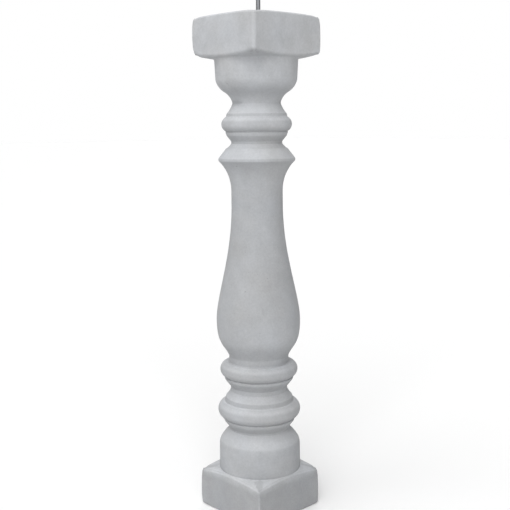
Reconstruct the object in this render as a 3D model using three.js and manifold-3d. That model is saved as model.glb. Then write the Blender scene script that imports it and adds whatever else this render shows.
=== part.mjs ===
import * as THREE from 'three';
import { mergeVertices } from 'three/addons/utils/BufferGeometryUtils.js';
import Module from 'manifold-3d';

// A cast cement baluster: a turned shaft between two square blocks, cast in one piece,
// with a plain steel bar that stands out of the head.
// Millimetres, +Z up. The origin is the centre of the underside, the block faces lie along X and Y.

const wasm = await Module();
wasm.setup();

// Overall height of the casting.
const height = 703.5;

// The square blocks. Their thickness is taken at the middle of a face, and the slope says how fast
// the conical shoulder falls away from the shaft. The head came out a little wider than the foot.
const foot = { side: 124.5, thickness: 59.2, slope: 0.22 };
const head = { side: 127.5, thickness: 57.6, slope: 0.17 };
const uprightArris = 4.5; // radius of the four upright edges of a block
const flatArris = 2.2; // radius of the edges round the underside and the head

// The turned shaft, from the foot up: r is a radius, z a height above the underside,
// and a bulge is the rise of an arc over half its chord (negative for a hollow).
const lowerDrum = { footR: 59.2, headR: 58.7, headZ: 98.4, ovoloBulge: 0.12 };
const firstNeck = { r: 43.2, z0: 117.9, z1: 120.4 };
const lowerRing = { footR: 50.8, footZ: 129.9, headR: 52.4, headZ: 133.4 };
const lowerTorus = { footR: 50.5, footZ: 134.8, headR: 49.6, headZ: 159.4, bulge: 0.79 };
const lowerStep = { r: 48.4, z: 165.4, hollowBulge: -0.08 };
const secondNeck = { footR: 41.4, footZ: 175.4, headR: 40.8, headZ: 180.9 };
const upperRing = { footR: 49, footZ: 191, headR: 50.4, headZ: 194.8 };
const upperTorus = { footR: 48.6, footZ: 196, headR: 44.2, headZ: 216.9, bulge: 0.9 };
const vaseNeck = { r: 43, z0: 218.4, z1: 226.4 };
const belly = { r: 60.1, z: 279.4, footPullR: 7.5, footPullZ: 17.8, lowerPull: 37, upperPull: 33 };
const shaftNeck = { r: 36.4, z0: 444.4, z1: 463.9, lowerPull: 72, hollowBulge: -0.205 };
const flange = { edgeR: 54, edgeZ0: 505.6, edgeZ1: 509, lipR: 43.2, lipZ: 522.9 };
const flare = { r: 41.2, z: 523.9, bulge: -0.06 };
const thirdNeck = { r: 35.9, z0: 529.4, z1: 532.4 };
const capRing = { footR: 42.2, footZ: 540.2, headR: 43.8, headZ: 544.8 };
const capTorus = { footR: 43.2, footZ: 546, headR: 43, headZ: 566.4, bulge: 0.62 };
const capStep = { r: 42, z: 570.7, hollowBulge: -0.1 };
const fourthNeck = { r: 33.7, z0: 584.4, z1: 585.8, hollowBulge: -0.2 };
const upperDrum = { turnR: 44.6, turnZ: 600.1, footR: 56.7, footZ: 616.4, headR: 58, ovoloBulge: 0.2 };

// The steel bar and its socket in the head.
const barDiameter = 6;
const barAboveHead = 60;
const barDepth = 40;
const barOffset = { x: 2.3, y: 2.4 }; // it came out a little off centre in the casting
const socketClearance = 0.3;
const barEndChamfer = 0.6;
const socketChamfer = 0.1;

// How finely round shapes are divided.
const turningSides = 52;
const barSides = 16;
const arcStepDegrees = 17;
const vaseFootSteps = 7;
const vaseSteps = 9;
const blockCornerSteps = 3;
const arrisSteps = 2;

// Points closer than this are one point, and a drum starts this far inside its block's shoulder.
const weldDistance = 1e-4;
const drumOverlap = 1;

// Adds an arc to an outline, from where it ends to (r, z), with the given bulge.
function arcTo(outline, r, z, bulge) {
  const start = outline.at(-1);
  const end = new THREE.Vector2(r, z);
  const chord = end.clone().sub(start);
  const halfAngle = 2 * Math.atan(bulge);
  const radius = chord.length() / (2 * Math.sin(halfAngle));
  const outward = new THREE.Vector2(chord.y, -chord.x).normalize();
  const middle = start.clone().add(end).multiplyScalar(0.5);
  const centre = middle.addScaledVector(outward, -radius * Math.cos(halfAngle));
  const steps = Math.ceil(THREE.MathUtils.radToDeg(2 * Math.abs(halfAngle)) / arcStepDegrees);
  for (let i = 1; i < steps; i++) {
    outline.push(start.clone().rotateAround(centre, (2 * halfAngle * i) / steps));
  }
  outline.push(end);
}

// Adds straight stretches to an outline, through the given (r, z) pairs.
function lineTo(outline, ...corners) {
  for (const [r, z] of corners) outline.push(new THREE.Vector2(r, z));
}

// Adds a smooth S or C stretch with its two control points.
function curveTo(outline, control1, control2, end, steps) {
  const curve = new THREE.CubicBezierCurve(outline.at(-1), control1, control2, end);
  outline.push(...curve.getPoints(steps).slice(1));
}

// The lower drum, rounded over at its head, and the neck above it.
function addLowerDrum(outline) {
  lineTo(outline, [lowerDrum.footR, foot.thickness / 2], [lowerDrum.headR, lowerDrum.headZ]);
  arcTo(outline, firstNeck.r, firstNeck.z0, lowerDrum.ovoloBulge);
  lineTo(outline, [firstNeck.r, firstNeck.z1]);
}

// A thin ring and, above a fine groove, the torus that it carries.
function addRingAndTorus(outline, ring, torus) {
  lineTo(outline, [ring.footR, ring.footZ], [ring.headR, ring.headZ], [torus.footR, torus.footZ]);
  arcTo(outline, torus.headR, torus.headZ, torus.bulge);
}

// The step on top of a torus and the hollow that leads to the next neck.
function addStepAndHollow(outline, step, neckR, neckZ) {
  lineTo(outline, [step.r, step.z]);
  arcTo(outline, neckR, neckZ, step.hollowBulge);
}

// The vase: a full belly low down that thins in one long sweep to the shaft's neck.
function addVase(outline) {
  lineTo(outline, [vaseNeck.r, vaseNeck.z0], [vaseNeck.r, vaseNeck.z1]);
  curveTo(
    outline,
    new THREE.Vector2(vaseNeck.r + belly.footPullR, vaseNeck.z1 + belly.footPullZ),
    new THREE.Vector2(belly.r, belly.z - belly.lowerPull),
    new THREE.Vector2(belly.r, belly.z),
    vaseFootSteps,
  );
  curveTo(
    outline,
    new THREE.Vector2(belly.r, belly.z + belly.upperPull),
    new THREE.Vector2(shaftNeck.r, shaftNeck.z0 - shaftNeck.lowerPull),
    new THREE.Vector2(shaftNeck.r, shaftNeck.z0),
    vaseSteps,
  );
  lineTo(outline, [shaftNeck.r, shaftNeck.z1]);
}

// The hollow under the sharp flange, the flange's edge and the slope on top of it.
function addFlange(outline) {
  arcTo(outline, flange.edgeR, flange.edgeZ0, shaftNeck.hollowBulge);
  lineTo(outline, [flange.edgeR, flange.edgeZ1], [flange.lipR, flange.lipZ]);
  lineTo(outline, [flare.r, flare.z]);
  arcTo(outline, thirdNeck.r, thirdNeck.z0, flare.bulge);
  lineTo(outline, [thirdNeck.r, thirdNeck.z1]);
}

// The drum under the head, rounded over at its foot.
function addUpperDrum(outline) {
  lineTo(outline, [fourthNeck.r, fourthNeck.z1]);
  arcTo(outline, upperDrum.turnR, upperDrum.turnZ, fourthNeck.hollowBulge);
  arcTo(outline, upperDrum.footR, upperDrum.footZ, upperDrum.ovoloBulge);
  lineTo(outline, [upperDrum.headR, height - head.thickness / 2]);
}

// Half the outline of the turned shaft, from the axis inside the foot to the axis inside the head.
function shaftOutline() {
  const outline = [new THREE.Vector2(0, foot.thickness / 2)];
  addLowerDrum(outline);
  addRingAndTorus(outline, lowerRing, lowerTorus);
  addStepAndHollow(outline, lowerStep, secondNeck.footR, secondNeck.footZ);
  lineTo(outline, [secondNeck.headR, secondNeck.headZ]);
  addRingAndTorus(outline, upperRing, upperTorus);
  addVase(outline);
  addFlange(outline);
  addRingAndTorus(outline, capRing, capTorus);
  addStepAndHollow(outline, capStep, fourthNeck.r, fourthNeck.z0);
  addUpperDrum(outline);
  outline.push(new THREE.Vector2(0, height - head.thickness / 2));
  return outline;
}

// Turns an outline of (r, z) points about the Z axis.
function turned(outline, sides) {
  const geometry = new THREE.LatheGeometry(outline, sides);
  return geometry.rotateX(Math.PI / 2);
}

// A square with rounded corners, centred on the origin.
function roundedSquare(side, cornerRadius) {
  const reach = side / 2;
  const inner = reach - cornerRadius;
  const shape = new THREE.Shape();
  shape.moveTo(inner, -reach);
  shape.absarc(inner, -inner, cornerRadius, -Math.PI / 2, 0);
  shape.absarc(inner, inner, cornerRadius, 0, Math.PI / 2);
  shape.absarc(-inner, inner, cornerRadius, Math.PI / 2, Math.PI);
  shape.absarc(-inner, -inner, cornerRadius, Math.PI, 1.5 * Math.PI);
  return shape;
}

// A block before its shoulder is cut: taller than needed, with its lower edges eased.
function blockPrism(block) {
  const geometry = new THREE.ExtrudeGeometry(roundedSquare(block.side, uprightArris), {
    depth: block.thickness,
    curveSegments: blockCornerSteps,
    bevelThickness: flatArris,
    bevelSize: flatArris,
    bevelOffset: -flatArris,
    bevelSegments: arrisSteps,
  });
  return geometry.translate(0, 0, flatArris);
}

// A disc with a conical top, wider than the block: what it has in common with the prism is the block.
function shoulderDisc(block, drumR) {
  const reach = block.side; // past the block's corners
  const flatR = drumR - drumOverlap;
  const levelAt = (r) => block.thickness - block.slope * (r - block.side / 2);
  const outline = [
    new THREE.Vector2(0, 0),
    new THREE.Vector2(reach, 0),
    new THREE.Vector2(reach, levelAt(reach)),
    new THREE.Vector2(flatR, levelAt(flatR)),
    new THREE.Vector2(0, levelAt(flatR)),
  ];
  return turned(outline, turningSides);
}

// Makes a solid for joining and cutting out of a closed geometry.
function toSolid(geometry) {
  const bare = new THREE.BufferGeometry();
  bare.setAttribute('position', geometry.getAttribute('position'));
  bare.setIndex(geometry.getIndex());
  const merged = mergeVertices(bare, weldDistance);
  const corners = merged.getIndex().array;
  const triVerts = [];
  for (let i = 0; i < corners.length; i += 3) {
    const [a, b, c] = corners.slice(i, i + 3);
    if (a !== b && b !== c && c !== a) triVerts.push(a, b, c);
  }
  const mesh = new wasm.Mesh({
    numProp: 3,
    vertProperties: new Float32Array(merged.getAttribute('position').array),
    triVerts: new Uint32Array(triVerts),
  });
  return new wasm.Manifold(mesh);
}

// Turns a solid back into a geometry.
function toGeometry(solid) {
  const mesh = solid.getMesh();
  const geometry = new THREE.BufferGeometry();
  geometry.setAttribute('position', new THREE.BufferAttribute(mesh.vertProperties, 3));
  geometry.setIndex(new THREE.BufferAttribute(mesh.triVerts, 1));
  geometry.computeVertexNormals();
  return geometry;
}

// A round bar standing on z = 0, with both ends eased.
function bar(radius, length, chamfer) {
  const outline = [
    new THREE.Vector2(0, 0),
    new THREE.Vector2(radius - chamfer, 0),
    new THREE.Vector2(radius, chamfer),
    new THREE.Vector2(radius, length - chamfer),
    new THREE.Vector2(radius - chamfer, length),
    new THREE.Vector2(0, length),
  ];
  return turned(outline, barSides);
}

// A block standing on z = 0, with its shoulder on top.
function blockSolid(block, drumR) {
  return toSolid(blockPrism(block)).intersect(toSolid(shoulderDisc(block, drumR)));
}

// The hole in the head that the bar stands in, open at its top.
function barSocket() {
  const depth = barDepth + socketClearance;
  const radius = barDiameter / 2 + socketClearance;
  const solid = toSolid(bar(radius, depth + barAboveHead, socketChamfer));
  return solid.translate([barOffset.x, barOffset.y, height - depth]);
}

// The casting: both blocks and the shaft in one, with the bar's socket in the head.
function castBody() {
  const footBlock = blockSolid(foot, lowerDrum.footR);
  const headBlock = blockSolid(head, upperDrum.headR).rotate([180, 0, 0]).translate([0, 0, height]);
  const shaft = toSolid(turned(shaftOutline(), turningSides));
  return toGeometry(footBlock.add(shaft).add(headBlock).subtract(barSocket()));
}

const cement = new THREE.MeshStandardMaterial({ color: 0xb4b6ba, roughness: 0.85, metalness: 0 });
const steel = new THREE.MeshStandardMaterial({ color: 0x8c8f96, roughness: 0.45, metalness: 1 });

const baluster = new THREE.Group();

const body = new THREE.Mesh(castBody(), cement);
body.name = 'cement_body';
baluster.add(body);

const steelBar = new THREE.Mesh(bar(barDiameter / 2, barDepth + barAboveHead, barEndChamfer), steel);
steelBar.name = 'steel_bar';
steelBar.position.set(barOffset.x, barOffset.y, height - barDepth);
baluster.add(steelBar);

export default baluster;
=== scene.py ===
# %% [markdown]
# A cast cement baluster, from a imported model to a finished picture
#
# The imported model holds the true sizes: a casting made of two square blocks with a turned shaft
# between them, and a plain steel bar that stands out of its head. This lesson dresses it: it
# models the casting again with soft arrises, crisp mouldings and small air holes, gives both
# pieces a procedural finish, and lights them softly on a pale floor.
#
# The frame is loaded first, and everything else is placed by what it measures. Most sizes in the
# code are written in mm, and MM turns them into the metres of the frame. The few that are written
# in metres have a comment that says so.

# %% Load the frame
import math
import random

import bpy
import mathutils
from mathutils import Matrix, Vector


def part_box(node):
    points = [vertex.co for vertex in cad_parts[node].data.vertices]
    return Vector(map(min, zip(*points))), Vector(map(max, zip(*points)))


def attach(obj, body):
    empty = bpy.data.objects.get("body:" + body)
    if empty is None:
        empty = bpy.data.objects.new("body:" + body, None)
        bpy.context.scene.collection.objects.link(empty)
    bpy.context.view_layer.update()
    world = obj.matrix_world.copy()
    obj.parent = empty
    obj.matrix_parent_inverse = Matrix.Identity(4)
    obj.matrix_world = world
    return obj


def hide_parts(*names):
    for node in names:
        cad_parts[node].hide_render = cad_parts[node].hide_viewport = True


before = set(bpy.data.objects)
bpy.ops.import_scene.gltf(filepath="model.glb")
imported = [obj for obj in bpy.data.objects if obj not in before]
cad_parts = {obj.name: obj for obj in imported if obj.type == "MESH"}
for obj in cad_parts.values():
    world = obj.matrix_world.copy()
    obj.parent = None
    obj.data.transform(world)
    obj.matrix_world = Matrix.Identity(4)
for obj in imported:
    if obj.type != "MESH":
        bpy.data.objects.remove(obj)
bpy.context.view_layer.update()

MM = 0.001
casting_low, casting_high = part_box("cement_body")
bar_low, bar_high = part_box("steel_bar")
height = casting_high.z - casting_low.z
head_side = casting_high.x - casting_low.x
foot_side = head_side - 3.0 * MM  # the foot block is a little narrower than the head
print(f"casting {head_side / MM:.1f} mm square at its head and {height / MM:.1f} mm high")

# %% [markdown]
# The camera stands where the photographer's did: level with the upper third of the casting,
# 1.25 m away, looking a little down, with one corner of the blocks turned almost straight
# towards it. It is made now, because the lights are placed by the direction it looks in.

# %% Place the camera
camera_azimuth = 46.95  # degrees round from the front; a block's corner would be at 45
camera_distance = 1.2459  # in metres, like the next two
camera_height = 0.5532
camera_shift_left = 0.0042
camera_pitch_down = 8.295
camera_roll = -0.54
lens_pixels = 883.3  # focal length in pixels of a picture 510 pixels wide
picture_width = 510
sensor_width = 36.0

bpy.ops.object.select_all(action="DESELECT")
bpy.ops.object.camera_add()
camera = bpy.context.object
camera.name = "camera"
camera.data.sensor_width = sensor_width
camera.data.lens = sensor_width * lens_pixels / picture_width
camera.matrix_world = (
    Matrix.Rotation(math.radians(camera_azimuth), 4, "Z")
    @ Matrix.Translation((-camera_shift_left, -camera_distance, camera_height))
    @ Matrix.Rotation(math.radians(90 - camera_pitch_down), 4, "X")
    @ Matrix.Rotation(math.radians(camera_roll), 4, "Z")
)
bpy.context.scene.camera = camera
print(f"camera with a {camera.data.lens:.1f} mm lens, {camera_distance:.2f} m away")

# %% [markdown]
# A mould maker turns the shaft of the pattern on a lathe, and so does this lesson. What a lathe
# needs is half an outline: radius and height, from the axis inside the foot block to the axis
# inside the head block. Straight stretches, arcs and one long sweep are enough for every member.
# The blocks' shoulders fall away from the shaft like a very flat cone, so they are turned too,
# as two wide discs that get their four sides later.

# %% Draw half the outline
foot_thickness = 59.2  # at the middle of a face, like the head's
foot_slope = 0.22  # how steeply a block's shoulder falls away from the shaft
head_thickness = 57.6
head_slope = 0.17
inside_block = 30.0  # the shaft's two ends are hidden this deep in the blocks
head = height / MM


def line_to(outline, *points):
    """Adds straight stretches through (radius, height) points."""
    outline.extend(points)


def arc_to(outline, radius, level, bulge, step_degrees=6.0):
    """Adds an arc to (radius, level). The bulge is its rise over half its chord, negative in a
    hollow."""
    start, end = Vector(outline[-1]), Vector((radius, level))
    chord = end - start
    half_angle = 2 * math.atan(bulge)
    arc_radius = chord.length / (2 * math.sin(half_angle))
    outward = Vector((chord.y, -chord.x)).normalized()
    centre = (start + end) / 2 - outward * arc_radius * math.cos(half_angle)
    steps = max(2, math.ceil(math.degrees(2 * abs(half_angle)) / step_degrees))
    for i in range(1, steps + 1):
        rotation = Matrix.Rotation(2 * half_angle * i / steps, 2)
        outline.append(tuple(centre + rotation @ (start - centre)))


def sweep_to(outline, control_1, control_2, end, steps):
    """Adds a smooth S or C stretch, drawn as a Bezier curve with two control points."""
    handles = [Vector((*p, 0)) for p in (outline[-1], control_1, control_2, end)]
    curve = mathutils.geometry.interpolate_bezier(*handles, steps + 1)
    outline.extend((p.x, p.y) for p in curve[1:])


def foot_shoulder(radius):
    """The level of the foot block's conical shoulder at a radius."""
    return foot_thickness - foot_slope * (radius - foot_side / MM / 2)


def head_shoulder(radius):
    """The level of the head block's conical shoulder, which faces down, at a radius."""
    return head - head_thickness + head_slope * (radius - head_side / MM / 2)


outline = [(0.0, inside_block)]

# the lower drum, rounded over into the first neck
line_to(outline, (59.2, inside_block), (59.2, 60.0), (58.8, 94.2))
arc_to(outline, 56.9, 102.2, 0.12)
arc_to(outline, 43.2, 117.9, 0.1)
line_to(outline, (43.2, 120.4))

# the lower ring and torus, with a hollow up to the second neck
line_to(outline, (50.8, 129.9), (52.4, 133.4), (50.5, 134.8))
arc_to(outline, 49.6, 159.4, 0.79)
line_to(outline, (48.4, 165.4))
arc_to(outline, 41.4, 175.4, -0.08)
line_to(outline, (40.8, 180.9))

# the upper ring and torus, and the neck under the vase
line_to(outline, (49.0, 191.0), (50.4, 194.8), (48.6, 196.0))
arc_to(outline, 44.2, 216.9, 0.9)
line_to(outline, (43.0, 218.4), (43.0, 226.4))

# the vase: a full belly that thins in one long sweep to the narrowest part of the shaft
sweep_to(outline, (50.5, 244.2), (60.1, 242.4), (60.1, 279.4), steps=20)
sweep_to(outline, (60.1, 312.4), (36.4, 372.4), (36.4, 444.4), steps=50)
line_to(outline, (36.4, 463.9))

# the hollow under the flange, its sharp edge, and the slope on top of it
arc_to(outline, 54.0, 505.6, -0.205)
line_to(outline, (54.0, 509.0), (43.2, 522.9), (41.2, 523.9))
arc_to(outline, 35.9, 529.4, -0.06)
line_to(outline, (35.9, 532.4))

# the ring and torus under the upper drum
line_to(outline, (42.2, 540.2), (43.8, 544.8), (43.2, 546.0))
arc_to(outline, 43.0, 566.4, 0.62)
line_to(outline, (42.0, 570.7))
arc_to(outline, 33.7, 584.4, -0.1)
line_to(outline, (33.7, 585.8))

# the upper drum, rounded over at its foot, with a small fillet under the head block
arc_to(outline, 44.6, 600.1, -0.2)
arc_to(outline, 56.7, 616.4, 0.2)
line_to(outline, (58.0, head_shoulder(58.0) - 3.4))
arc_to(outline, 60.6, head_shoulder(60.6) + 0.6, -0.3)
line_to(outline, (60.6, head - inside_block), (0.0, head - inside_block))
print(f"the outline has {len(outline)} points")

# %% [markdown]
# Now the outline becomes edges. By hand one would start from a plane, merge it to a single
# vertex and extrude that vertex from point to point, and the operators do exactly this. No
# corner of a casting is perfectly sharp, so every corner of the drawn line is rounded by a
# vertex bevel before it is turned. Now one corner is one vertex, and later it would be a whole
# ring of edges.

# %% Extrude the outline and round its corners
corner_angle = 16.0  # degrees; flatter than this isn't a corner
corner_radius = 0.8
longest_edge = 3.4


def deselect_all():
    """Operators act on all that is selected, and the frame's nodes start selected."""
    if bpy.context.object and bpy.context.object.mode != "OBJECT":
        bpy.ops.object.mode_set(mode="OBJECT")
    bpy.ops.object.select_all(action="DESELECT")


def activate(piece):
    """Makes one piece the active and only selected one."""
    deselect_all()
    bpy.context.view_layer.objects.active = piece
    piece.select_set(True)


def edit(piece):
    """Opens one piece in edit mode, with nothing in it selected."""
    activate(piece)
    bpy.ops.object.mode_set(mode="EDIT")
    bpy.ops.mesh.select_all(action="DESELECT")


def select_where(piece, kind, test):
    """In edit mode, selects the vertices or the edges that pass a test, and counts them."""
    bpy.ops.mesh.select_mode(type={"vertices": "VERT", "edges": "EDGE"}[kind])
    bpy.ops.mesh.select_all(action="DESELECT")
    bpy.ops.object.mode_set(mode="OBJECT")
    chosen = [item for item in getattr(piece.data, kind) if test(item)]
    for item in chosen:
        item.select = True
    bpy.ops.object.mode_set(mode="EDIT")
    return len(chosen)


def extrude_outline(name, points):
    """Makes a piece of edges by extruding one vertex through (radius, height) points."""
    deselect_all()
    bpy.ops.mesh.primitive_plane_add(size=MM)
    piece = bpy.context.object
    piece.name = name
    edit(piece)
    bpy.ops.mesh.select_all(action="SELECT")
    bpy.ops.mesh.merge(type="CENTER")
    bpy.ops.transform.translate(value=(points[0][0] * MM, 0, points[0][1] * MM))
    for start, end in zip(points, points[1:]):
        step = ((end[0] - start[0]) * MM, 0, (end[1] - start[1]) * MM)
        bpy.ops.mesh.extrude_region_move(TRANSFORM_OT_translate={"value": step})
    bpy.ops.object.mode_set(mode="OBJECT")
    return piece


def corner_test(piece):
    """Makes a test for the corners of an outline of edges."""
    neighbours = {v.index: [] for v in piece.data.vertices}
    for edge in piece.data.edges:
        first, second = edge.vertices
        neighbours[first].append(second)
        neighbours[second].append(first)

    def is_corner(vertex):
        ends = [piece.data.vertices[i].co - vertex.co for i in neighbours[vertex.index]]
        return len(ends) == 2 and math.degrees(ends[0].angle(-ends[1])) > corner_angle

    return is_corner


casting = extrude_outline("cast_baluster", outline)
edit(casting)
corners = select_where(casting, "vertices", corner_test(casting))
bpy.ops.mesh.bevel(affect="VERTICES", offset=corner_radius * MM, segments=3)


def is_long(edge):
    """True for an edge that is too long for an even mesh."""
    first, second = (casting.data.vertices[i].co for i in edge.vertices)
    return first.x > 0 and second.x > 0 and (first - second).length > longest_edge * MM


while select_where(casting, "edges", is_long):
    bpy.ops.mesh.subdivide(number_cuts=1)
bpy.ops.object.mode_set(mode="OBJECT")
print(f"{corners} corners rounded, {len(casting.data.vertices)} vertices in the outline")

# %% [markdown]
# The spin operator is the lathe. It sweeps the outline once round the axis, and the seam and
# the two ends on the axis are then merged, so that the body is closed. A spin can leave it
# inside out, so its normals are recalculated.

# %% Turn the shaft
turn_steps = 184  # a multiple of 8, so that a line of vertices runs up to each corner
merge_distance = 0.01


def turn(piece):
    """Turns a piece of edges once round the axis into a closed body."""
    edit(piece)
    bpy.ops.mesh.select_all(action="SELECT")
    bpy.ops.mesh.spin(steps=turn_steps, angle=math.tau, center=(0, 0, 0), axis=(0, 0, 1))
    bpy.ops.mesh.select_all(action="SELECT")
    bpy.ops.mesh.remove_doubles(threshold=merge_distance * MM)
    bpy.ops.mesh.normals_make_consistent(inside=False)
    bpy.ops.object.mode_set(mode="OBJECT")
    print(f"{piece.name} is turned and has {len(piece.data.polygons)} faces")


turn(casting)

# %% [markdown]
# Cast pieces are never as true as turned ones. The photograph shows the middle of the shaft a
# little to one side and the lower drum a little to the other. Proportional editing bends the
# blank just so: one ring is moved, and what is near follows it. The mould also gives a little,
# so a displacement with a soft cloud pattern moves the turned surface by a few tenths of a
# millimetre.

# %% Bend the shaft and make it a little uneven
bends = [  # level of the ring, shift to the camera's right, and reach, in mm
    (432.0, -0.45, 240.0),
    (78.0, 0.5, 60.0),
]
ring_height = 2.0  # how far the ring reaches above and below its level
unevenness = 0.5
unevenness_size = 0.075  # in metres
camera_right = Matrix.Rotation(math.radians(camera_azimuth), 3, "Z") @ Vector((1, 0, 0))
for level, shift, reach in bends:
    edit(casting)
    ring = select_where(
        casting, "vertices", lambda v: abs(v.co.z - level * MM) < ring_height * MM
    )
    bpy.ops.transform.translate(
        value=camera_right * shift * MM,
        use_proportional_edit=True,
        proportional_edit_falloff="SMOOTH",
        proportional_size=reach * MM,
    )
    bpy.ops.object.mode_set(mode="OBJECT")
    print(f"moved a ring of {ring} vertices by {shift} mm")


def displace(piece, name, size, strength, mid_level):
    """Moves a piece's surface along its normals by a cloud pattern. The strength is in mm."""
    activate(piece)
    pattern = bpy.data.textures.new(name, "CLOUDS")
    pattern.noise_scale = size
    pattern.noise_depth = 2
    modifier = piece.modifiers.new(name, "DISPLACE")
    modifier.texture = pattern
    modifier.strength = strength * MM
    modifier.mid_level = mid_level
    bpy.ops.object.modifier_apply(modifier=modifier.name)


displace(casting, "mould_give", unevenness_size, unevenness, mid_level=0.8)

# %% [markdown]
# Both square blocks come from one long square bar, which gives them their flat sides and their
# rounded upright edges. It is as long as the casting and passes through the shaft, but it only
# serves to cut with. It is narrower at the foot and turned by less than a degree there, as the
# photograph shows. No two arrises of a casting are worn alike, so the rounding is made larger or
# smaller at some corners, by scaling it towards its sharp corner.

# %% Make the square bar
upright_radius = 4.2
foot_twist = -0.85  # degrees
shaft_start = 0.09  # two levels between the blocks, in metres
shaft_end = 0.61
overcut = 4.0  # the bar is this much too long at the head, and the lower disc at the foot
bar_top_level = height + overcut * MM
arris_wear = [  # corner in x and y, level, and the size of its rounding against the rest
    (1, 1, shaft_end, 0.35),
    (-1, -1, 0.0, 0.8),
    (-1, -1, shaft_start, 0.8),
    (1, -1, bar_top_level, 1.5),
    (1, -1, shaft_end, 0.9),
    (1, -1, 0.0, 0.85),
    (1, -1, shaft_start, 0.85),
]


def cut_across(place, normal):
    """In edit mode, cuts the whole piece along a plane, as a saw would, and keeps both halves."""
    bpy.ops.mesh.select_all(action="SELECT")
    bpy.ops.mesh.bisect(plane_co=place, plane_no=normal)


deselect_all()
bpy.ops.mesh.primitive_cube_add(size=1, location=(0, 0, bar_top_level / 2))
square_bar = bpy.context.object
square_bar.scale = (head_side, head_side, bar_top_level)
bpy.ops.object.transform_apply()
edit(square_bar)


def is_upright(edge):
    """True for the four upright edges of the square bar."""
    first, second = (square_bar.data.vertices[i].co for i in edge.vertices)
    return abs(first.z - second.z) > height / 2


select_where(square_bar, "edges", is_upright)
bpy.ops.mesh.bevel(offset=upright_radius * MM, segments=8)
for level in (shaft_start, shaft_end):
    cut_across((0, 0, level), (0, 0, 1))
bpy.ops.object.mode_set(mode="OBJECT")
for side_x, side_y, level, wear in arris_wear:
    edit(square_bar)
    corner = Vector((side_x * head_side / 2, side_y * head_side / 2, level))
    select_where(square_bar, "vertices", lambda v: (v.co - corner).length < 2 * upright_radius * MM)
    bpy.ops.transform.resize(value=(wear, wear, 1), center_override=corner)
    bpy.ops.object.mode_set(mode="OBJECT")

edit(square_bar)
select_where(square_bar, "vertices", lambda v: v.co.z < shaft_start + MM)
narrowing = foot_side / head_side
bpy.ops.transform.resize(value=(narrowing, narrowing, 1), center_override=(0, 0, 0))
bpy.ops.transform.rotate(value=math.radians(foot_twist), orient_axis="Z", center_override=(0, 0, 0))
bpy.ops.object.mode_set(mode="OBJECT")
print(f"the square bar has {len(square_bar.data.polygons)} faces")

# %% [markdown]
# The blocks' thickness and their conical shoulders are turned, as two discs that are wider than
# the bar. The head's disc is crowned, because the caster trowels the open end of the mould by
# hand and its corners come out low. One cut then makes both blocks: it keeps only what the bar
# and the discs have in common. Where a shoulder meets a flat side, this leaves the same curved
# edge as on the real blocks. Slivers that the cut leaves are merged away.

# %% Turn the discs and cut the square blocks
disc_radius = 96.0
apex_radius = 20.0  # the cones are cut off flat here, inside the shaft
narrowest_face = 0.35  # slivers that are narrower than this are merged
crown = [  # radius, and how far the head's top lies below its middle there
    (disc_radius, 2.9),
    (50.0, 0.3),
    (34.0, 0.0),
    (0.0, 0.0),
]
foot_disc = [
    (0.0, -overcut),
    (disc_radius, -overcut),
    (disc_radius, foot_shoulder(disc_radius)),
    (apex_radius, foot_shoulder(apex_radius)),
    (0.0, foot_shoulder(apex_radius)),
]
head_disc = [
    (0.0, head_shoulder(apex_radius)),
    (apex_radius, head_shoulder(apex_radius)),
    (disc_radius, head_shoulder(disc_radius)),
    *[(radius, head - drop) for radius, drop in crown],
]
blocks = extrude_outline("blocks", foot_disc)
turn(blocks)
upper_block = extrude_outline("upper_block", head_disc)
turn(upper_block)
deselect_all()
blocks.select_set(True)
upper_block.select_set(True)
bpy.context.view_layer.objects.active = blocks
bpy.ops.object.join()


def boolean(piece, cutter, operation):
    """Joins or cuts one piece with another, which is then removed."""
    activate(piece)
    modifier = piece.modifiers.new("cut", "BOOLEAN")
    modifier.operation = operation
    modifier.solver = "EXACT"
    modifier.object = cutter
    bpy.ops.object.modifier_apply(modifier=modifier.name)
    bpy.data.objects.remove(cutter)


boolean(blocks, square_bar, "INTERSECT")
edit(blocks)
bpy.ops.mesh.select_all(action="SELECT")
bpy.ops.mesh.remove_doubles(threshold=narrowest_face * MM)
bpy.ops.object.mode_set(mode="OBJECT")
print(f"after the cut the blocks have {len(blocks.data.polygons)} faces")

# %% [markdown]
# The cut leaves knife edges round the underside, the head and the shoulders. They are picked by
# their angle and level, and bevelled to the soft arris of a cement casting, widest round the
# two shoulders.

# %% Soften the arrises
arrises = [  # from level, to level, and bevel width, in mm
    (-1.0, 5.0, 2.2),
    (40.0, 65.0, 4.4),
    (640.0, 665.0, 4.4),
    (690.0, 710.0, 3.6),
]
sharp_angle = 40.0  # degrees; steeper than this is an arris


def level_of(piece, edge):
    """The level of an edge's middle, in mm."""
    return sum(piece.data.vertices[i].co.z for i in edge.vertices) / 2 / MM


for low, high, width in arrises:
    edit(blocks)
    bpy.ops.mesh.select_mode(type="EDGE")
    bpy.ops.mesh.edges_select_sharp(sharpness=math.radians(sharp_angle))
    bpy.ops.object.mode_set(mode="OBJECT")
    sharp = {
        edge.index
        for edge in blocks.data.edges
        if edge.select and low < level_of(blocks, edge) < high
    }
    bpy.ops.object.mode_set(mode="EDIT")
    softened = select_where(blocks, "edges", lambda edge: edge.index in sharp)
    bpy.ops.mesh.bevel(offset=width * MM, segments=4)
    bpy.ops.object.mode_set(mode="OBJECT")
    print(f"{softened} edges between {low:.0f} and {high:.0f} mm softened")

# %% [markdown]
# The corners of a cement block knock against everything, so they are worn back, some more than
# others. Proportional editing does this: the tip of a corner is pulled inwards, and the skin
# round it follows. For that, and for the uneven skin that comes next, the flat sides need points
# of their own, so they are cut into a grid first.

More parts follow.
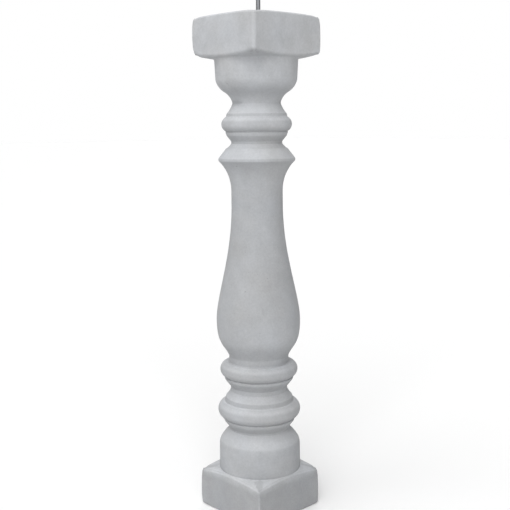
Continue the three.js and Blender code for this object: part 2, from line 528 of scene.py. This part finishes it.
# %% Cut a grid into the sides and wear the corners
side_cuts = 13
cut_span = 0.104  # metres from the first cut of a side to the last
cut_shift = 0.0023  # in metres; it keeps the cuts' crossings off the discs' radial edges
level_cuts = [0.014, 0.028, 0.042, height - 0.042, height - 0.028, height - 0.014]  # in metres
corner_reach = 13.0  # how far round a tip the skin follows it
foot_corner = 53.0  # level of the foot's shoulder at its corners
head_corner = head - 53.0
corner_wear = [  # corner in x and y, its level, and how far its tip is worn back, in mm
    (-1, -1, 0.0, 1.2),
    (-1, -1, foot_corner, 1.5),
    (-1, -1, head_corner, 2.4),
    (-1, -1, head, 1.6),
    (1, 1, 0.0, 0.8),
    (1, 1, foot_corner, 1.6),
    (1, 1, head_corner, 0.8),
    (1, 1, head, 1.6),
    (1, -1, 0.0, 0.8),
    (1, -1, head, 1.0),
    (-1, 1, 0.0, 1.6),
    (-1, 1, foot_corner, 1.4),
    (-1, 1, head_corner, 2.0),
    (-1, 1, head, 2.6),
]

edit(blocks)
for i in range(side_cuts):
    offset = (i / (side_cuts - 1) - 0.5) * cut_span
    for axis in ((1, 0, 0), (0, 1, 0)):
        cut_across((offset, offset + cut_shift, 0), axis)
for level in level_cuts:
    cut_across((0, 0, level), (0, 0, 1))
bpy.ops.object.mode_set(mode="OBJECT")

for side_x, side_y, level, pull in corner_wear:
    edit(blocks)
    corner = Vector((side_x * head_side / 2, side_y * head_side / 2, level * MM))
    nearest = min((v.co - corner).length for v in blocks.data.vertices)
    select_where(blocks, "vertices", lambda v: (v.co - corner).length < nearest + MM)
    faces_down = level in (0.0, head_corner)
    inward = Vector((-side_x, -side_y, 1 if faces_down else -1))
    bpy.ops.transform.translate(
        value=inward.normalized() * pull * MM,
        use_proportional_edit=True,
        proportional_edit_falloff="SMOOTH",
        proportional_size=corner_reach * MM,
    )
    bpy.ops.object.mode_set(mode="OBJECT")
print(f"{len(corner_wear)} corners worn")

# %% [markdown]
# The blocks' skin is a little more uneven than the turned shaft's, as the flat sides of a mould
# bulge and warp. It is only moved inwards, so that the blocks keep their size. Last, the blocks
# are joined to the shaft, and the casting is one body.

# %% Make the blocks uneven and join them to the shaft
block_unevenness = 0.7
block_unevenness_size = 0.03  # in metres
displace(blocks, "block_give", block_unevenness_size, block_unevenness, mid_level=1.0)
boolean(casting, blocks, "UNION")
print(f"the casting has {len(casting.data.polygons)} faces")

# %% [markdown]
# Cement that is poured into a mould traps air. Where a bubble lay against the mould, the casting
# has a small round hole. A few show in the photograph and get their places by height and by the
# angle round the shaft. The rest are strewn by a seeded draw, so that they are the same in every
# run. All of them are small balls, joined to one cutter, and cut out at once, together with the
# socket that the steel bar is cast into.

# %% Cut the air holes and the bar's socket
camera_side = math.radians(camera_azimuth - 90)  # where the camera stands, round from +X
seen_holes = [  # angle from the camera's side in degrees, level in mm, radius in mm
    (-20.0, 327.4, 1.5),
    (-47.0, 609.4, 1.6),
    (1.0, 98.8, 1.3),
    (-38.0, 83.4, 1.4),
    (-36.0, 498.4, 1.2),
]
strewn_on_shaft = 34
strewn_on_blocks = 26
hole_radii = (0.45, 1.0)
shaft_levels = (70, 630)
block_levels = (6, 44)  # from a block's flat end
block_reach = 52  # from the middle of a block's side
ball_lift = 0.55  # how far a ball's centre stands off the surface, as a share of its radius
socket_clearance = 0.3
round_sides = 48  # sides of the socket and of the bar
draw = random.Random(7)


def shaft_radius(level):
    """The shaft's radius at a level, read off the outline, in mm."""
    for (r0, z0), (r1, z1) in zip(outline, outline[1:]):
        if z0 <= level <= z1 and z1 > z0:
            return r0 + (r1 - r0) * (level - z0) / (z1 - z0)
    raise ValueError(f"no shaft at {level}")


def hole_on_shaft(angle, level, radius):
    """Centre and radius of a ball that dents the shaft, in metres."""
    reach = shaft_radius(level) + ball_lift * radius
    centre = Vector((math.cos(angle) * reach, math.sin(angle) * reach, level))
    return centre * MM, radius * MM


def hole_on_block(side, across, level, radius):
    """Centre and radius of a ball that dents one of a block's four sides, in metres."""
    block_side = head_side if level > head / 2 else foot_side
    centre = Vector((block_side / MM / 2 + ball_lift * radius, across, level))
    return Matrix.Rotation(side * math.pi / 2, 3, "Z") @ centre * MM, radius * MM


balls = [hole_on_shaft(camera_side + math.radians(a), z, r) for a, z, r in seen_holes]
for _ in range(strewn_on_shaft):
    level = draw.uniform(*shaft_levels)
    angle = draw.uniform(0, math.tau)
    balls.append(hole_on_shaft(angle, level, draw.uniform(*hole_radii)))
for _ in range(strewn_on_blocks):
    level = draw.choice([draw.uniform(*block_levels), head - draw.uniform(*block_levels)])
    across = draw.uniform(-block_reach, block_reach)
    side = draw.randrange(4)
    balls.append(hole_on_block(side, across, level, draw.uniform(*hole_radii)))

bar_radius = (bar_high.x - bar_low.x) / 2
bar_centre = (bar_low + bar_high) / 2
socket_floor = bar_low.z - socket_clearance * MM
socket_top = height + overcut * MM
deselect_all()
bpy.ops.mesh.primitive_cylinder_add(
    vertices=round_sides,
    radius=bar_radius + socket_clearance * MM,
    depth=socket_top - socket_floor,
    location=(bar_centre.x, bar_centre.y, (socket_top + socket_floor) / 2),
)
cutter = bpy.context.object
for centre, radius in balls:
    bpy.ops.mesh.primitive_ico_sphere_add(subdivisions=3, radius=radius, location=centre)
    bpy.context.object.select_set(True)
    cutter.select_set(True)
    bpy.context.view_layer.objects.active = cutter
    bpy.ops.object.join()
boolean(casting, cutter, "DIFFERENCE")
print(f"{len(balls)} air holes")

# %% [markdown]
# Smooth shading makes the turned surface look round, but it also bends the light on a flat face
# towards its soft edges. Weighted normals cure that: the large faces keep their own direction,
# and the narrow ones between them take up the turn.

# %% Smooth the shading
activate(casting)
bpy.ops.object.shade_smooth_by_angle(angle=math.radians(sharp_angle))
weighting = casting.modifiers.new("weighting", "WEIGHTED_NORMAL")
weighting.keep_sharp = True
bpy.ops.object.modifier_apply(modifier=weighting.name)
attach(casting, "root")
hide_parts("cement_body")
casting_triangles = sum(len(face.vertices) - 2 for face in casting.data.polygons)
print(f"the casting has {casting_triangles} triangles")

# %% [markdown]
# The steel bar is plain rolled stock, cropped at the end. The node in the frame has the right
# size but only a few sides, so a rounder one is made for the picture, with a small chamfer.

# %% Make the steel bar
bar_chamfer = 0.5
deselect_all()
bpy.ops.mesh.primitive_cylinder_add(
    vertices=round_sides, radius=bar_radius, depth=bar_high.z - bar_low.z, location=bar_centre
)
steel_bar = bpy.context.object
steel_bar.name = "rolled_steel_bar"
bpy.ops.object.transform_apply()
edit(steel_bar)
bpy.ops.mesh.select_mode(type="EDGE")
bpy.ops.mesh.edges_select_sharp(sharpness=math.radians(sharp_angle))
bpy.ops.mesh.bevel(offset=bar_chamfer * MM, segments=3)
bpy.ops.object.mode_set(mode="OBJECT")
bpy.ops.object.shade_smooth_by_angle(angle=math.radians(sharp_angle))
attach(steel_bar, "root")
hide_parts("steel_bar")
print(f"the bar stands {(bar_high.z - height) / MM:.0f} mm out of the head")

# %% [markdown]
# The cement is pale, cool grey and dull. Close up it is never one grey: patches a few centimetres
# wide dried lighter or darker, sand shows as fine grain, and pinholes are left by the smallest
# air bubbles. These are drawn with noise on Object coordinates, whose sizes are in metres, so
# that they stay as they are on the real casting and run on round every edge without a seam. A
# few small helpers keep the code short. They add a node, draw spots, go softly from one value to
# another, do sums, mix colours, and put the result into the shader.

# %% Helpers for the materials
def add_node(tree, kind, values=None, **settings):
    """Adds a node, sets its settings, and sets or links its inputs by name or number."""
    new_node = tree.nodes.new(kind)
    for key, setting in settings.items():
        setattr(new_node, key, setting)
    for key, value in (values or {}).items():
        if isinstance(value, bpy.types.NodeSocket):
            tree.links.new(value, new_node.inputs[key])
        else:
            new_node.inputs[key].default_value = value
    return new_node


def spots(tree, place, size, low, high, detail=3.0, contrast=0.2):
    """Noise with spots of about one size in metres, as values from low to high."""
    noise = add_node(
        tree, "ShaderNodeTexNoise", {"Vector": place, "Scale": 1 / size, "Detail": detail}
    )
    spread = {
        "Value": noise.outputs["Fac"],
        "From Min": 0.5 - contrast,
        "From Max": 0.5 + contrast,
        "To Min": low,
        "To Max": high,
    }
    return add_node(tree, "ShaderNodeMapRange", spread).outputs["Result"]


def step_between(tree, value, start, end, low, high):
    """Goes softly from low to high while a value goes from start to end."""
    limits = {"Value": value, "From Min": start, "From Max": end, "To Min": low, "To Max": high}
    ramp = add_node(tree, "ShaderNodeMapRange", limits, interpolation_type="SMOOTHSTEP")
    return ramp.outputs["Result"]


def calculate(tree, operation, first, second):
    """One sum, difference or product of two values."""
    return add_node(tree, "ShaderNodeMath", {0: first, 1: second}, operation=operation).outputs[0]


def wavy_level(tree, place, size, depth):
    """The level in metres, made uneven by noise, so that a border at a level isn't straight."""
    level = add_node(tree, "ShaderNodeSeparateXYZ", {0: place}).outputs["Z"]
    return calculate(tree, "ADD", level, spots(tree, place, size, -depth, depth))


def mix_colours(tree, share, first, second):
    """The first colour where the share is 0, and the second where it is 1."""
    inputs = {"Factor": share, "A": first, "B": second}
    return add_node(tree, "ShaderNodeMix", inputs, data_type="RGBA").outputs["Result"]


def finish_shader(tree, shader, colour, brightness, relief, strength):
    """Gives a shader its colour, times a brightness, and a relief whose height is in metres."""
    inputs = {0: colour, "Scale": brightness}
    shade = add_node(tree, "ShaderNodeVectorMath", inputs, operation="SCALE")
    tree.links.new(shade.outputs["Vector"], shader.inputs["Base Color"])
    inputs = {"Height": relief, "Distance": 1.0, "Strength": strength}
    bump = add_node(tree, "ShaderNodeBump", inputs)
    tree.links.new(bump.outputs["Normal"], shader.inputs["Normal"])


def start_material(name, piece):
    """Gives a piece a new material, and returns its nodes, its shader and Object coordinates."""
    material = bpy.data.materials.new(name)
    material.use_nodes = True
    piece.data.materials.clear()
    piece.data.materials.append(material)
    tree = material.node_tree
    place = add_node(tree, "ShaderNodeTexCoord").outputs["Object"]
    return tree, tree.nodes["Principled BSDF"], place


# %% [markdown]
# The grooves get painted shade, a darker grey, and the arrises get painted highlight, a lighter
# grey that partly also stands for rubbed skin. Blender finds both for us: the dirty vertex colours
# operator writes how hollow each place is into a colour attribute, which the material reads.

# %% Mark the hollows and the arrises
activate(casting)
bpy.ops.geometry.color_attribute_add(
    name="wear", domain="POINT", data_type="BYTE_COLOR", color=(1, 1, 1, 1)
)
bpy.ops.object.mode_set(mode="VERTEX_PAINT")
bpy.ops.paint.vertex_color_dirt(
    blur_strength=1.0, blur_iterations=10, clean_angle=math.pi, dirt_angle=0.0, normalize=True
)
bpy.ops.object.mode_set(mode="OBJECT")
mark_shares = (0.04, 0.5, 0.96)  # of the vertices below the marks of hollows, flats and arrises
marks = sorted(mark.color[0] for mark in casting.data.color_attributes["wear"].data)
hollow_mark, flat_mark, arris_mark = (marks[round(len(marks) * share)] for share in mark_shares)
print(f"marks: {hollow_mark:.3f} in hollows, {flat_mark:.3f} on flats, {arris_mark:.3f} on arrises")

# %% [markdown]
# The spots and the shades below are each a factor round 1, and their product dims or brightens
# the grey. The lower block's sides get painted shade and are a good deal darker than the shaft,
# up to an uneven line. Towards the head the casting gets painted light and is lighter. All that
# faces up gets painted light, most of it what is nearly level, and what faces down gets painted
# shade and is darker.

# %% Cement: shades of grey
cement_cool = (0.415, 0.427, 0.446, 1)
cement_warm = (0.400, 0.405, 0.413, 1)
# painted shade: below this level the lower block is painted darker
shaded_foot_level = 0.050  # the edge of the darker lower block, in metres
shaded_foot_edge = 0.008
tree, shader, place = start_material("cement", casting)
level = wavy_level(tree, place, size=0.02, depth=0.003)
facing = add_node(tree, "ShaderNodeTexCoord").outputs["Normal"]
facing_up = add_node(tree, "ShaderNodeSeparateXYZ", {0: facing}).outputs["Z"]
# the wear attribute only holds how hollow each place is; from it the material paints shade in the
# hollows and highlight on the arrises
hollowness_colour = add_node(tree, "ShaderNodeVertexColor", layer_name="wear").outputs["Color"]
wear = add_node(tree, "ShaderNodeSeparateColor", {0: hollowness_colour}).outputs["Red"]

mottling = [  # size of the spots in metres, factor in the darkest and the palest, and detail
    ("patches", 0.045, 0.94, 1.05, 3.0),
    ("clouds", 0.014, 0.965, 1.035, 4.0),
    ("grain", 0.0028, 0.955, 1.045, 4.0),
    ("sand", 0.0009, 0.97, 1.03, 1.0),
]
shading = [  # what it goes by, the value of that at either end, and the factor at either end
    # painted shade: the lower block darker below an uneven line
    ("painted shade on the foot", level, shaded_foot_level - shaded_foot_edge / 2, shaded_foot_level + shaded_foot_edge / 2, 0.86, 1.0),
    # painted light: the casting lighter towards the head
    ("painted light towards the head", level, 0.43, 0.62, 0.945, 1.10),
    # painted light on all that faces up
    ("painted light facing up", facing_up, 0.2, 0.65, 1.0, 1.23),
    # more painted light on what is nearly level
    ("painted light on level tops", facing_up, 0.85, 0.97, 1.0, 1.14),
    # painted shade on what faces down
    ("painted shade facing down", facing_up, -0.95, -0.1, 0.8, 1.0),
    # painted shade in the hollows
    ("painted shade in hollows", wear, 0.5 * hollow_mark, 0.7 * flat_mark, 0.82, 1.0),
    # painted highlight along the arrises, partly also rubbed skin
    ("painted highlight and wear on arrises", wear, 1.25 * flat_mark, arris_mark, 1.0, 1.05),
]
factors = {}
for name, size, dark, pale, detail in mottling:
    factors[name] = spots(tree, place, size, dark, pale, detail=detail)
for name, value, start, end, factor_at_start, factor_at_end in shading:
    factors[name] = step_between(tree, value, start, end, factor_at_start, factor_at_end)

brightness = 1.0
for name, factor in factors.items():
    factor.node.label = name
    brightness = calculate(tree, "MULTIPLY", brightness, factor)
print(f"{len(factors)} factors: {', '.join(factors)}")

# %% [markdown]
# Pinholes are cells of a Voronoi pattern: each cell has one point, and a small disc round it is
# dark. A wide noise decides where they lie close and where there are hardly any, as in a real
# casting, where air gathers in some places.

# %% Cement: pinholes, colour and relief
pinhole_spacing = 0.0045  # in metres
widest_pinhole = 0.11  # its radius as a share of the spacing, where they lie closest
rim_inside, rim_outside = -0.03, 0.02  # shares too, from the edge of a pinhole
pinhole_shade = 0.72
pinhole_depth = 0.25
trowel_marks = 0.35  # heights in mm, like the pinholes' depth
sand_grains = 0.10
cells = add_node(
    tree,
    "ShaderNodeTexVoronoi",
    {"Vector": place, "Scale": 1 / pinhole_spacing, "Randomness": 1.0},
)
pinhole_radius = spots(
    tree, place, size=0.03, low=0.0, high=widest_pinhole, detail=2.0, contrast=0.15
)
edge_distance = calculate(tree, "SUBTRACT", cells.outputs["Distance"], pinhole_radius)
closed = step_between(tree, edge_distance, rim_inside, rim_outside, 0.0, 1.0)
pinhole_factor = step_between(tree, closed, 0, 1, pinhole_shade, 1.0)
brightness = calculate(tree, "MULTIPLY", brightness, pinhole_factor)

warmth = spots(tree, place, size=0.06, low=0.0, high=1.0, detail=2.0)
tint = mix_colours(tree, warmth, cement_cool, cement_warm)
trowelled = spots(tree, place, size=0.016, low=0.0, high=trowel_marks * MM, detail=2.0)
sandy = spots(tree, place, size=0.0016, low=0.0, high=sand_grains * MM, detail=4.0)
relief = calculate(tree, "ADD", trowelled, sandy)
pinhole_relief = step_between(tree, closed, 0, 1, 0.0, pinhole_depth * MM)
relief = calculate(tree, "ADD", relief, pinhole_relief)
finish_shader(tree, shader, tint, brightness, relief, strength=0.8)
dullness = spots(tree, place, size=0.01, low=0.74, high=0.9)
tree.links.new(dullness, shader.inputs["Roughness"])
shader.inputs["Specular IOR Level"].default_value = 0.35
print(f"the cement has {len(tree.nodes)} nodes")

# %% [markdown]
# The bar is as it left the rolling mill: dark grey scale, dull and slightly uneven, with the
# first brownish spots of rust and a smear of cement where it enters the casting. It is metal, so
# its colour is the colour of its reflection, and it needs the roughness to be dull.

# %% Rolled steel
scale_grey = (0.31, 0.32, 0.34, 1)
rust_brown = (0.27, 0.24, 0.21, 1)
most_rust = 0.2  # how far the scale's colour goes towards brown in the rustiest spots
smear_start, smear_end = 2.0, 5.0  # mm above the head, where the smear thins out and ends
scale_relief = 0.05
tree, shader, place = start_material("bar_steel", steel_bar)
rust = spots(tree, place, size=0.006, low=0.0, high=most_rust, detail=4.0, contrast=0.12)
scale_colour = mix_colours(tree, rust, scale_grey, rust_brown)
scale_patches = spots(tree, place, size=0.0035, low=0.86, high=1.1)
scale_grain = spots(tree, place, size=0.0008, low=0.93, high=1.05)
brightness = calculate(tree, "MULTIPLY", scale_patches, scale_grain)
level = wavy_level(tree, place, size=0.003, depth=0.002)
smear = step_between(tree, level, height + smear_start * MM, height + smear_end * MM, 1.0, 0.0)
colour = mix_colours(tree, smear, scale_colour, cement_cool)
relief = spots(tree, place, size=0.0012, low=0.0, high=scale_relief * MM, detail=4.0)
finish_shader(tree, shader, colour, brightness, relief, strength=0.7)
bare_metal = step_between(tree, smear, 0, 1, 1.0, 0.0)
dullness = spots(tree, place, size=0.004, low=0.42, high=0.62)
tree.links.new(bare_metal, shader.inputs["Metallic"])
tree.links.new(dullness, shader.inputs["Roughness"])
print(f"the steel has {len(tree.nodes)} nodes")

# %% [markdown]
# The photograph is cut out on white, so the floor is a wide, almost white plane under an even
# white sky. The light is soft, as under an overcast sky. Most of it comes from the front and from
# above, some of it from the left, and the right side stays in open shade. Weaker light from
# behind lifts the ledges and keeps the back from going dark. Suns with a very wide disc give all
# this from any distance, and the sky fills in. The sky is brighter to the camera than to the
# casting, so that the background is white and the casting isn't washed out.

# %% Floor and sky
floor_size = 60  # in metres
floor_grey = 0.95
floor_glow = 0.03
ambient = 0.2  # the strength of the sky as a light, against 1 as a background
deselect_all()
bpy.ops.mesh.primitive_plane_add(size=floor_size)
floor = bpy.context.object
floor.name = "floor"
floor_material = bpy.data.materials.new("floor")
floor_material.use_nodes = True
floor.data.materials.append(floor_material)
shader = floor_material.node_tree.nodes["Principled BSDF"]
shader.inputs["Base Color"].default_value = (floor_grey, floor_grey, floor_grey, 1)
shader.inputs["Roughness"].default_value = 0.9
shader.inputs["Emission Color"].default_value = (1, 1, 1, 1)
shader.inputs["Emission Strength"].default_value = floor_glow

world = bpy.data.worlds.new("studio")
bpy.context.scene.world = world
world.use_nodes = True
tree = world.node_tree
background = tree.nodes["Background"]
background.inputs["Color"].default_value = (1, 1, 1, 1)
seen = add_node(tree, "ShaderNodeLightPath").outputs["Is Camera Ray"]
strength = add_node(tree, "ShaderNodeMapRange", {"Value": seen, "To Min": ambient, "To Max": 1.0})
tree.links.new(strength.outputs["Result"], background.inputs["Strength"])
print(f"a floor {floor_size} m wide under a sky of strength {ambient}")

# %% Light it softly
suns = [  # name; degrees to the camera's right, elevation and width of the disc; strength
    ("front", -6, 30, 45, 1.62),
    ("above", -15, 72, 50, 0.8),
    ("left", -60, 52, 40, 0.52),
    ("back_left", -120, 30, 40, 0.4),
    ("behind", 170, 35, 50, 0.8),
]
for name, around, elevation, size, power in suns:
    deselect_all()
    bpy.ops.object.light_add(type="SUN")
    lamp = bpy.context.object
    lamp.name = name
    lamp.data.energy = power
    lamp.data.angle = math.radians(size)
    lamp.matrix_world = (
        Matrix.Rotation(math.radians(camera_azimuth + around), 4, "Z")
        @ Matrix.Rotation(math.radians(90 - elevation), 4, "X")
    )
bpy.context.scene.view_settings.view_transform = "Standard"
print(f"{len(suns)} suns")
